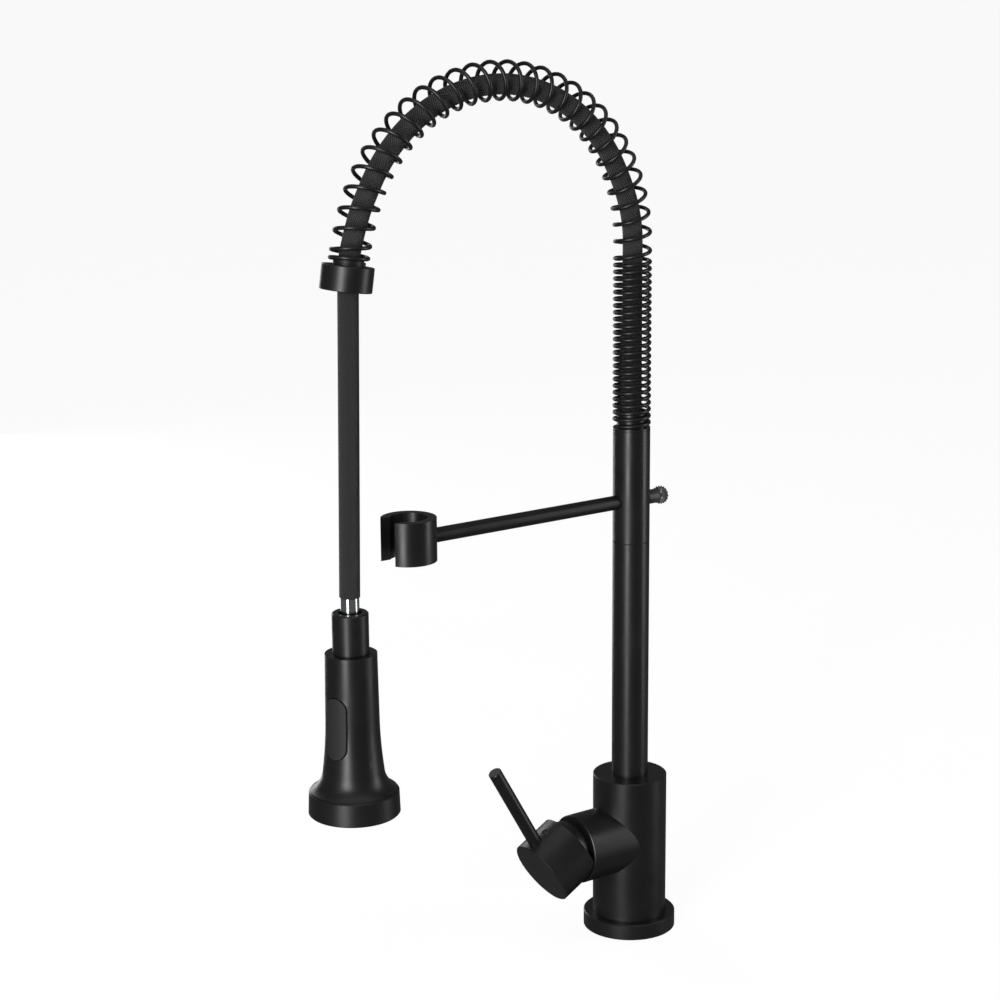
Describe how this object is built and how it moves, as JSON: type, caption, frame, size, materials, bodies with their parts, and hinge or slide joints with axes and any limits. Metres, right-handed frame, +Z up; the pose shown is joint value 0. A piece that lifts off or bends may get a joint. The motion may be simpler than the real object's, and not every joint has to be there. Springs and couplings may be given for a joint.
{
  "type": "pre rinse faucet",
  "caption": "Matte black kitchen faucet with a coil spring over its hose, a pull-down spray head, a holder arm and a side lever.",
  "frame": {"origin": "centre of the base flange's underside, on the deck", "axes": "+Z up along the riser; -Y from the riser towards the spray head, the clip and the handle; +X completes a right-handed frame"},
  "size_m": [0.0628, 0.2797, 0.6519],
  "materials": {
    "black_metal": "matte black powder coat, fine orange-peel, slightly polished on edges",
    "black_wire": "matte black coated spring steel wire",
    "black_plastic": "black moulded plastic, fine spark texture",
    "grey_rubber": "dark grey soft rubber",
    "black_rubber": "black sealing rubber",
    "braided_nylon": "black nylon braid with a diamond weave",
    "chrome": "polished chrome",
    "knurled_metal": "dark grey knurled metal",
    "brass": "machined brass",
    "steel": "plain zinc-plated steel",
    "acetal": "white acetal",
    "ceramic": "lapped ceramic, modelled as a hard gloss material"
  },
  "bodies": {
    "root": {"base_flange": "black_metal", "base_seal": "black_rubber", "valve_body": "black_metal", "mounting_shank": "brass", "deck_washer": "black_rubber", "clamp_washer": "steel", "mounting_nut": "brass", "thrust_washer": "acetal", "gland_nut": "black_metal", "port_seals": "black_rubber", "cartridge_base": "acetal", "fixed_disc": "ceramic", "cartridge_housing": "acetal", "retaining_nut": "brass", "dome_cover": "black_metal"},
    "mixer_rotor": {"mixer_rotor": "acetal", "pivot_pin": "steel"},
    "moving_disc": {"moving_disc": "ceramic", "disc_carrier": "acetal"},
    "handle": {"stem": "brass", "handle_cap": "black_metal", "lever_rod": "black_metal", "index_plug": "black_plastic"},
    "spout": {"spout_tail": "brass", "spout_o_rings": "black_rubber", "riser_tube": "black_metal", "tube_coupler": "brass", "inner_tube": "steel", "sleeve_washer": "acetal", "spring_seat": "black_metal", "hose_tail": "brass", "hose_upper": "braided_nylon", "spring": "black_wire", "spring_collar": "black_metal", "collar_bush": "black_plastic"},
    "holder_arm": {"arm_sleeve": "black_metal", "arm_liner": "acetal", "arm_rod": "black_metal", "holder_clip": "black_metal"},
    "lock_knob": {"lock_knob": "knurled_metal", "knob_stud": "steel"},
    "drop": {"hose_lower": "braided_nylon", "hose_ferrule": "chrome", "ferrule_seal": "black_rubber"},
    "spray_head": {"head_neck": "black_metal", "head_shell": "black_metal", "bell_ring": "black_metal", "spray_face": "black_plastic", "spray_nozzles": "grey_rubber", "distributor_plate": "acetal", "aerator": "black_plastic", "diverter_body": "acetal", "check_valve": "acetal", "inlet_screen": "steel", "button_pin": "steel"},
    "spray_button": {"rocker_button": "grey_rubber"},
    "diverter_spool": {"diverter_spool": "acetal"}
  },
  "joints": [
    {"name": "spout_swivel", "type": "hinge", "parent": "root", "child": "spout", "pos_m": [0, 0, 0.1], "axis": [0, 0, 1], "continuous": true},
    {"name": "arm_swivel", "type": "hinge", "parent": "spout", "child": "holder_arm", "pos_m": [0, 0, 0.311], "axis": [0, 0, 1], "continuous": true},
    {"name": "knob_turn", "type": "hinge", "parent": "holder_arm", "child": "lock_knob", "pos_m": [0, 0.02, 0.3006], "axis": [0, 1, 0], "range_deg": [-180, 180]},
    {"name": "mixer_turn", "type": "hinge", "parent": "root", "child": "mixer_rotor", "pos_m": [0, -0.0567, 0.0648], "axis": [0, 1, 0], "range_deg": [-50, 50]},
    {"name": "handle_tilt", "type": "hinge", "parent": "mixer_rotor", "child": "handle", "pos_m": [0, -0.0567, 0.0648], "axis": [-1, 0, 0], "range_deg": [0, 30]},
    {"name": "disc_slide", "type": "slide", "parent": "mixer_rotor", "child": "moving_disc", "axis": [0, 0, 1], "range_m": [-0.0042, 0]},
    {"name": "drop_swing", "type": "hinge", "parent": "spout", "child": "drop", "pos_m": [0, -0.219, 0.467], "axis": [-1, 0, 0], "range_deg": [-14, 20]},
    {"name": "head_spin", "type": "hinge", "parent": "drop", "child": "spray_head", "pos_m": [0, -0.2194, 0.25], "axis": [0, 0, 1], "continuous": true},
    {"name": "button_tilt", "type": "hinge", "parent": "spray_head", "child": "spray_button", "pos_m": [0.00359, -0.22927, 0.1905], "axis": [0.9397, 0.342, 0], "range_deg": [-3, 3]},
    {"name": "spool_slide", "type": "slide", "parent": "spray_head", "child": "diverter_spool", "axis": [0, 0, 1], "range_m": [-0.0005, 0.0005]}
  ],
  "couplings": [
    {"joint": "disc_slide", "follows": "handle_tilt", "m_per_rad": -0.0067},
    {"joint": "spool_slide", "follows": "button_tilt", "m_per_rad": 0.00715}
  ]
}
